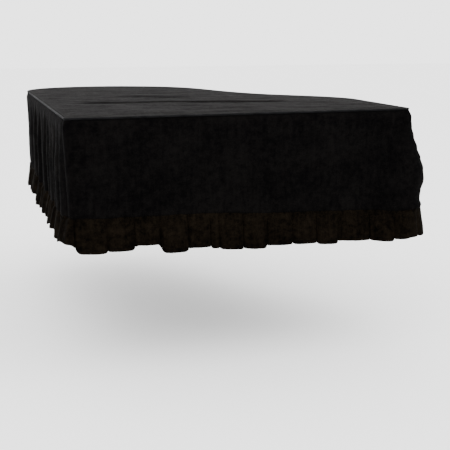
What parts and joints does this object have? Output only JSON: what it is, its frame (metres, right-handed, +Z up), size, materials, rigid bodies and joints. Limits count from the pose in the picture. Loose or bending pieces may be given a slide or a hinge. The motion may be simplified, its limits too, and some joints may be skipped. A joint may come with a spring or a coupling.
{
  "type": "grand piano cover",
  "caption": "Fitted cloth cover shaped like a grand piano from above: flat top with corded edge, hanging sides and a pleated frill, open below.",
  "frame": {"origin": "on the underside of the top, in the middle of the rectangle round its outline, where it lies on the piano's lid", "axes": "+X along the keyboard edge to the treble side, +Y from the keyboard to the tail, +Z up"},
  "size_m": [1.642, 2.0531, 0.5815],
  "materials": {
    "velvet": "black velvet, matt with a soft sheen",
    "frill_velvet": "black velvet, matt with a warm sheen"
  },
  "bodies": {
    "root": {"top_panel": "velvet", "top_piping": "velvet", "front_wall": "velvet", "bass_wall": "velvet", "treble_wall": "velvet", "front_frill": "frill_velvet", "bass_frill": "frill_velvet", "treble_frill": "frill_velvet"}
  },
  "joints": []
}
